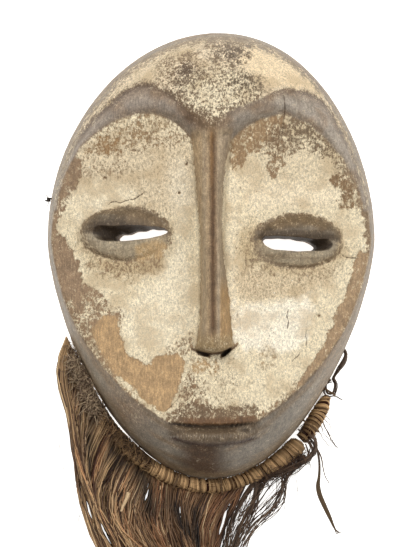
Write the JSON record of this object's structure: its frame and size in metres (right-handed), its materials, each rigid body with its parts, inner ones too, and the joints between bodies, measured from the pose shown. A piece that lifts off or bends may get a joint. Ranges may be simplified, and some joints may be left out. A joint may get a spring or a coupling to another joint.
{
  "type": "carved mask with fibre beard",
  "caption": "Oval carved wooden face mask with a whitened heart-shaped face, slit eyes, a long narrow nose and a beard of dark plant fibre tied under the jaw.",
  "frame": {"origin": "middle of the whole object's box, on the surface that the mask lies on with its back rim", "axes": "+X to the viewer's right, +Y from the beard to the crown, +Z out of the face"},
  "size_m": [0.1642, 0.346, 0.0538],
  "materials": {
    "painted_wood": "rough, whitened with clay over dark bare wood",
    "fibre_rope": "dry plant fibre",
    "beard_fibre": "dry, slightly glossy plant fibre",
    "dark_thread": "matt"
  },
  "bodies": {
    "root": {"wooden_mask": "painted_wood", "beard_rope": "fibre_rope", "beard_rope_end": "fibre_rope", "rope_tie_1": "fibre_rope", "rope_tie_2": "fibre_rope", "rope_tie_3": "fibre_rope", "rope_tie_4": "fibre_rope", "rope_tie_5": "fibre_rope", "rope_tie_6": "fibre_rope", "rope_tie_7": "fibre_rope", "rope_tie_8": "fibre_rope", "beard_lock_1": "beard_fibre", "beard_lock_2": "beard_fibre", "beard_lock_3": "beard_fibre", "beard_lock_4": "beard_fibre", "beard_lock_5": "beard_fibre", "beard_lock_6": "beard_fibre", "beard_lock_7": "beard_fibre", "beard_lock_8": "beard_fibre", "beard_lock_9": "beard_fibre", "loose_tie_end": "fibre_rope", "temple_thread": "dark_thread"}
  },
  "joints": []
}
